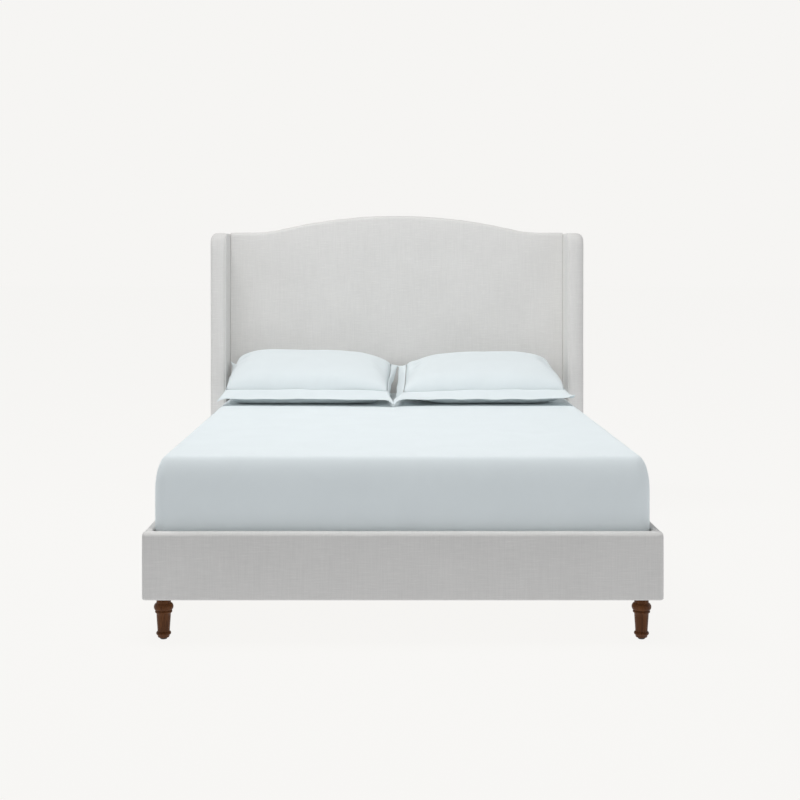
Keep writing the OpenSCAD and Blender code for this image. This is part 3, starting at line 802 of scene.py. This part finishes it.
def sham_grid():
    """Places on a cover as (across, along, layer), in which the seam is at 1 and the tips are at 2:
    one layer for the flange, two inside the seam."""
    runs = []
    for count in CELLS:
        out = [1 + (i + 1) / RING for i in range(RING)]
        inner = [2 * i / count - 1 for i in range(count + 1)]
        runs.append(([-v for v in out[::-1]] + inner + out, count))
    (us, nu), (vs, nv) = runs
    places, top, low = [], {}, {}
    for i, u in enumerate(us):
        for j, v in enumerate(vs):
            top[i, j] = len(places)
            places.append((u, v, 1))
            if abs(u) < 1 and abs(v) < 1:
                low[i, j] = len(places)
                places.append((u, v, -1))
    body, flange = [], []
    for i in range(len(us) - 1):
        for j in range(len(vs) - 1):
            corners = [(i, j), (i + 1, j), (i + 1, j + 1), (i, j + 1)]
            if RING <= i < RING + nu and RING <= j < RING + nv:
                body.append(tuple(top[c] for c in corners))
                body.append(tuple(low.get(c, top[c]) for c in corners[::-1]))
            else:
                flange.append(tuple(top[c] for c in corners))
    return places, body, flange


def sham_point(form, box, sheet_z, u, v, layer):
    """Where a place on the cover lies before the cloth has settled."""
    def along(value, half):
        """At its corners the seam is a flange's width inside the tips."""
        inner = 1 - FLANGE / (half + FLANGE)
        beyond = max(0.0, abs(value) - 1)
        return math.copysign(inner * min(1.0, abs(value)) + beyond * (1 - inner), value)
    a, b = ((along(value, half) + 1) / 2 for value, half in zip((u, v), HALF_BAG))
    x, y, tip = 0.0, 0.0, 0.0
    for j, row in enumerate((form["near"], form["far"])):
        for i, (across, onward, up) in enumerate(row):
            part = (a if i else 1 - a) * (b if j else 1 - b)
            x += part * (box[i][0] + across * MM)
            y += part * (box[j][1] + onward * MM)
            tip += part * up * MM
    cu, cv = max(-1.0, min(1.0, u)), max(-1.0, min(1.0, v))
    out_u, out_v = abs(u - cu), abs(v - cv)
    # Between the corners the ends and sides pull in, and the flange at the ends ripples a little
    power, root, waist, swell = form["ends"][0 if u < 0 else 1]
    outward = swell * SEAM_SHARE
    ripple = END_RIPPLE * math.sin(5.3 * v + 9 * form["plump"] / MM)
    drawn = ((waist + outward + ripple) * out_u - outward * abs(cu) ** 6) * MM
    x -= (1 if u > 0 else -1) * drawn * (1 - min(1.0, abs(v) / PULL_END) ** 3)
    pull = (SIDE_PULL + EDGE_PULL * out_v) * (1 - min(1.0, abs(u) / PULL_END) ** 4)
    y -= math.copysign(pull * min(1.0, abs(v)) ** 4, v)
    seam_z = SEAM_NEAR + (SEAM_FAR - SEAM_NEAR) * (cv + 1) / 2
    if out_u == 0 and out_v == 0:
        end, side = (1 - abs(cu) ** power) ** root, (1 - abs(cv) ** 2.8) ** 0.5
        # The filling pushes the sides out over the seam
        x += math.copysign(outward * MM * abs(cu) ** 8 * math.sin(math.pi * end * side), u)
        y += math.copysign(SIDE_SWELL * abs(cv) ** 8 * math.sin(math.pi * end * side), v)
        depth = form["plump"] * (1 + form["lean"] * cu) * (1.0 if layer > 0 else BELLY)
        z = seam_z + layer * depth * end * side
        return x, y, sheet_z + max(z, REST_GAP)
    # From the seam the flange bends down to its edge, and its tips droop
    share = out_v ** 2 / (out_u ** 2 + out_v ** 2)
    edge = (seam_z - EDGE_DROP) * (1 - share) + (EDGE_NEAR if v < 0 else EDGE_FAR) * share
    edge += (tip - edge) * math.exp(-((2 - abs(u)) ** 2 + (2 - abs(v)) ** 2) / TIP_SPAN ** 2)
    edge += EDGE_RIPPLE * math.sin(14 * u + 5 * v) * share
    return x, y, sheet_z + seam_z + (edge - seam_z) * max(out_u, out_v) ** 1.2


def settle(piece, places, frames):
    """Cloth simulation with a little pressure inside the seam; the tips are held, and so is the part
    that lies on the mattress."""
    points = [v.co for v in piece.data.vertices]
    floor = min(p[2] for p, place in zip(points, places) if place[2] < 0) + 1 * MM
    groups = {"inside": [], "edging": [], "held": []}
    for i, (u, v, layer) in enumerate(places):
        groups["inside" if max(abs(u), abs(v)) <= 1 else "edging"].append(i)
        if min(abs(u), abs(v)) > 1.7 or (layer < 0 and points[i][2] < floor):
            groups["held"].append(i)
    for name, members in groups.items():
        piece.vertex_groups.new(name=name).add(members, 1.0, "REPLACE")
    sim = piece.modifiers.new("Cloth", "CLOTH")
    cloth = sim.settings
    cloth.quality = 5
    cloth.mass = 0.15
    cloth.tension_stiffness = 25
    cloth.compression_stiffness = 8
    cloth.shear_stiffness = 6
    cloth.bending_stiffness = 0.8
    cloth.air_damping = 4
    cloth.tension_damping = cloth.compression_damping = 10
    cloth.shrink_min, cloth.shrink_max = -0.020, -0.006
    cloth.vertex_group_shrink = "edging"
    cloth.use_pressure = True
    cloth.uniform_pressure_force = 4.5
    cloth.vertex_group_pressure = "inside"
    cloth.vertex_group_mass = "held"
    cloth.effector_weights.gravity = 0.12
    sim.collision_settings.use_collision = False
    sim.collision_settings.use_self_collision = False
    sim.point_cache.frame_start, sim.point_cache.frame_end = 1, frames
    scene = bpy.context.scene
    for number in range(1, frames + 1):
        scene.frame_set(number)
    shape = piece.evaluated_get(bpy.context.evaluated_depsgraph_get())
    points = [np.array(v.co) for v in shape.data.vertices]
    piece.modifiers.clear()
    scene.frame_set(1)
    return points


def smoothed(points, faces):
    """One round of Laplacian smoothing, half way."""
    near = [set() for _ in points]
    for face in faces:
        for a, b in zip(face, face[1:] + face[:1]):
            near[a].add(b)
            near[b].add(a)
    return [p * 0.5 + 0.5 * sum(points[k] for k in near[i]) / len(near[i]) for i, p in enumerate(points)]


def taken(points, faces):
    """The points that some faces use, and those faces on them."""
    used = sorted({i for face in faces for i in face})
    number = {old: new for new, old in enumerate(used)}
    return [points[i] for i in used], [tuple(number[i] for i in face) for face in faces]


def plate_ring(points, faces, half):
    """A closed plate of twice the half thickness over the given faces, on points of its own."""
    points, skin = taken(points, faces)
    normals = [np.zeros(3) for _ in points]
    for face in skin:
        a, b, c, d = (points[i] for i in face)
        push = np.cross(c - a, d - b)
        for i in face:
            normals[i] += push
    shifts = [normal * half / max(np.linalg.norm(normal), 1e-12) for normal in normals]
    above = [p + shift for p, shift in zip(points, shifts)]
    below = [p - shift for p, shift in zip(points, shifts)]
    n = len(points)
    edges = {}
    for face in skin:
        for a, b in zip(face, face[1:] + face[:1]):
            edges.setdefault(frozenset((a, b)), []).append((a, b))
    rim = [(b, a, a + n, b + n) for [(a, b), *more] in edges.values() if not more]
    return above + below, skin + [tuple(i + n for i in face[::-1]) for face in skin] + rim


def sham_points(word, seed):
    """The points of a settled cover, and the faces of its body and of its flange."""
    places, body, flange = sham_grid()
    box, sheet_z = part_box(f"pillow_cover_{word}"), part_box("fitted_sheet")[1][2]
    start = []
    for place in places:
        point = np.array(sham_point(PILLOWS[word], box, sheet_z, *place))
        if place[2] > 0:
            point[2] += soft_shift(point, 2.5 * MM, 11.0, seed)
        start.append(point)
    mesh = bpy.data.meshes.new("sham_draft")
    mesh.from_pydata([tuple(p) for p in start], [], body + flange)
    draft = linked("sham_draft", mesh)
    points = settle(draft, places, 10)
    bpy.data.objects.remove(draft)
    # No point moves further than a cover's slack lets it, and none goes into the mattress
    moved = []
    for old, new in zip(start, points):
        point = old + (new - old) * min(1.0, SLACK / max(np.linalg.norm(new - old), 1e-9))
        point[2] = max(point[2], sheet_z + 3 * MM)
        moved.append(point)
    return smoothed(moved, body + flange), body, flange


def pillow(word, seed):
    """A flanged cover with its filling. The cover's body is one closed skin, and its flange is a thin
    plate sewn into the seam."""
    points, body, flange = sham_points(word, seed)
    skin_points, skin = taken(points, body)
    ring_points, ring = plate_ring(points, flange, FLANGE_HALF)
    shift = len(skin_points)
    # The sham wears the darker copy of the percale, which is painted shade
    sham = make_piece(f"sham_{word}", skin_points + ring_points,
                      skin + [tuple(i + shift for i in face) for face in ring], "percale",
                      f"pillow_{word}", [f"pillow_cover_{word}"], SHADED_SHAM_CLOTH, False)
    refine(sham)
    # The filling is the same shape, drawn in towards its own middle plane and centre
    middle = sum(skin_points) / len(skin_points)
    inner = [middle + (p - middle) * np.array([0.96, 0.95, 0.90]) for p in skin_points]
    insert = make_piece(f"pillow_insert_{word}", inner, skin, "pillow_fill", f"pillow_{word}",
                        [f"pillow_{word}"], turn=False)
    refine(insert)


def refine(piece):
    """Bakes one level of subdivision into the mesh, with its sewn edges kept where they are."""
    form = bmesh.new()
    form.from_mesh(piece.data)
    crease = form.edges.layers.float.new("crease_edge")
    for edge in form.edges:
        if edge.is_manifold and edge.calc_face_angle() > math.radians(100):
            edge[crease] = 1.0
    form.to_mesh(piece.data)
    form.free()
    finer = piece.modifiers.new("Refine", "SUBSURF")
    finer.levels = finer.render_levels = 1
    shape = piece.evaluated_get(bpy.context.evaluated_depsgraph_get())
    mesh = bpy.data.meshes.new_from_object(shape)
    piece.modifiers.clear()
    piece.data = mesh
    piece.data.polygons.foreach_set("use_smooth", [True] * len(mesh.polygons))


# ---------------------------------------------------------------- bare nodes that keep their shape

def dress_nodes():
    """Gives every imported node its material, with the grain of its timber along the board."""
    slots = {part["node"]: part["material_slot"] for part in frame["record"]["subparts"]}
    grain = dict.fromkeys(("side_rail_left", "side_rail_right"), PINE_LENGTHWAYS)
    grain.update(dict.fromkeys(("headboard_post_left", "headboard_post_right", "centre_leg_front",
                                "centre_leg_rear"), PINE_UPRIGHT))
    for name, node in frame["nodes"].items():
        for place in node.material_slots:
            place.material = grain.get(name, MATERIALS[slots[name]])


# ---------------------------------------------------------------- stage, lights and camera

FLOOR_SHADE = 0.03                # how much of its colour the floor reflects
FLOOR_GLOW = 0.986                # its glow, seen directly
FLOOR_LIGHT = 0.96                # its light on the bed from within FLOOR_NEAR
FLOOR_NEAR, FLOOR_AWAY = 1.0, 3.2           # m beyond the bed's sides, between which that light falls
ROOM_TINT = (0.905, 0.912, 0.925, 1.0)      # colour of the floor's and the room's light on the bed
ROOM = {"left": 1.14, "right": 1.30, "front": 0.53, "back": 0.92, "top": 0.0}     # its strength
KEY_PLACE, KEY_TARGET, KEY_SIZE = (-0.60, -0.78, 4.0), (0.0, 0.2, 0.6), (2.9, 0.66)
KEY_POWER = 98.0
KEY_REACH = 3.45                  # m, about the distance from the key light to the mattress's top


def stage():
    """A large pale floor that glows, as a light table does, so that shadows on it are faint. It is
    evenly white to look at, and lights the bed most from close by."""
    s = Shader("floor")
    x, y, z = s.place()
    cloud = s.remap(s.noise(s.vector(x, y, z), 0.6, 2.0), 0.3, 0.7)
    base = s.mix(cloud, shade(PAPER, FLOOR_SHADE * 0.98), shade(PAPER, FLOOR_SHADE * 1.02))
    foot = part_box("foot_rail_cover")[0]
    away = 0.0
    for part, edge in ((x, foot[0]), (y, foot[1])):
        beyond = s.math("MAXIMUM", s.math("SUBTRACT", s.math("ABSOLUTE", part), abs(edge)), 0.0)
        away = s.math("ADD", away, s.math("MULTIPLY", beyond, beyond))
    lit = s.remap(s.math("SQRT", away), FLOOR_NEAR, FLOOR_AWAY, FLOOR_LIGHT, FLOOR_LIGHT * 0.45)
    seen = s.node("ShaderNodeLightPath").outputs["Is Camera Ray"]
    s.set(Base_Color=base, Roughness=1.0, Specular_IOR_Level=0.0,
          Emission_Color=s.mix(seen, ROOM_TINT, PAPER), Emission_Strength=s.blend(seen, lit, FLOOR_GLOW))
    size = 60.0
    mesh = bpy.data.meshes.new("floor")
    mesh.from_pydata([(-size, -size, 0), (size, -size, 0), (size, size, 0), (-size, size, 0)], [],
                     [(0, 1, 2, 3)])
    mesh.materials.append(s.material)
    linked("floor", mesh)


def key_light():
    """A wide soft light over the bed. It is as strong at every distance as it is at KEY_REACH, as a
    far larger and farther one would be, so raised parts aren't overexposed, nor low ones dark."""
    data = bpy.data.lights.new("key", "AREA")
    data.shape = "RECTANGLE"
    data.size, data.size_y = KEY_SIZE
    data.energy = KEY_POWER
    data.use_nodes = True
    nodes = Nodes(data.node_tree)
    falloff = nodes.node("ShaderNodeLightFalloff", {"Strength": 1 / KEY_REACH ** 2})
    nodes.put(data.node_tree.nodes["Emission"].inputs["Strength"], falloff.outputs["Constant"])
    light = linked("key", data)
    light.location = KEY_PLACE
    light.rotation_mode = "QUATERNION"
    light.rotation_quaternion = (Vector(KEY_TARGET) - Vector(KEY_PLACE)).to_track_quat("-Z", "Y")


def room():
    """Light from all round: bright from the sides, dim from the front, none from above. Seen directly,
    it is one even paper white."""
    world = bpy.data.worlds.new("studio")
    bpy.context.scene.world = world
    world.use_nodes = True
    nodes = Nodes(world.node_tree)
    direction = nodes.node("ShaderNodeTexCoord").outputs["Generated"]
    x, y, z = nodes.node("ShaderNodeSeparateXYZ", {0: direction}).outputs

    def towards(part, start, stop):
        ends = (0.0, 1.0) if start < stop else (1.0, 0.0)
        return nodes.remap(part, min(start, stop), max(start, stop), *ends, "SMOOTHSTEP")

    wall = nodes.blend(towards(x, -0.7, 0.7), ROOM["left"], ROOM["right"])
    wall = nodes.blend(towards(y, 0.4, 0.9), wall, ROOM["back"])
    wall = nodes.blend(towards(y, -0.45, -0.95), wall, ROOM["front"])
    lit = nodes.blend(towards(z, 0.25, 0.85), wall, ROOM["top"])
    seen = nodes.node("ShaderNodeLightPath").outputs["Is Camera Ray"]
    background = world.node_tree.nodes["Background"].inputs
    nodes.put(background["Strength"], nodes.blend(seen, lit, 1.0))
    nodes.put(background["Color"], nodes.mix(seen, ROOM_TINT, PAPER))


def camera():
    """Level view from the foot of the bed, a little left of its middle."""
    data = bpy.data.cameras.new("camera")
    data.lens = 59.5
    data.sensor_width = 36.0
    data.shift_x = 0.01875
    data.shift_y = -0.17125
    cam = linked("camera", data)
    cam.location = (-0.054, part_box("foot_rail_cover")[0][1] - 4.005, 1.154)
    cam.rotation_euler = (math.radians(90), 0, 0)
    bpy.context.scene.camera = cam


# ---------------------------------------------------------------- the scene

bpy.context.scene.view_settings.view_transform = "Standard"
camera()
key_light()
room()
stage()
dress_nodes()
headboard()
wings()
foot_rail()
side_rails()
legs()
deck()
mattress()
fitted_sheet()
pillow("left", 2.0)
pillow("right", 11.0)
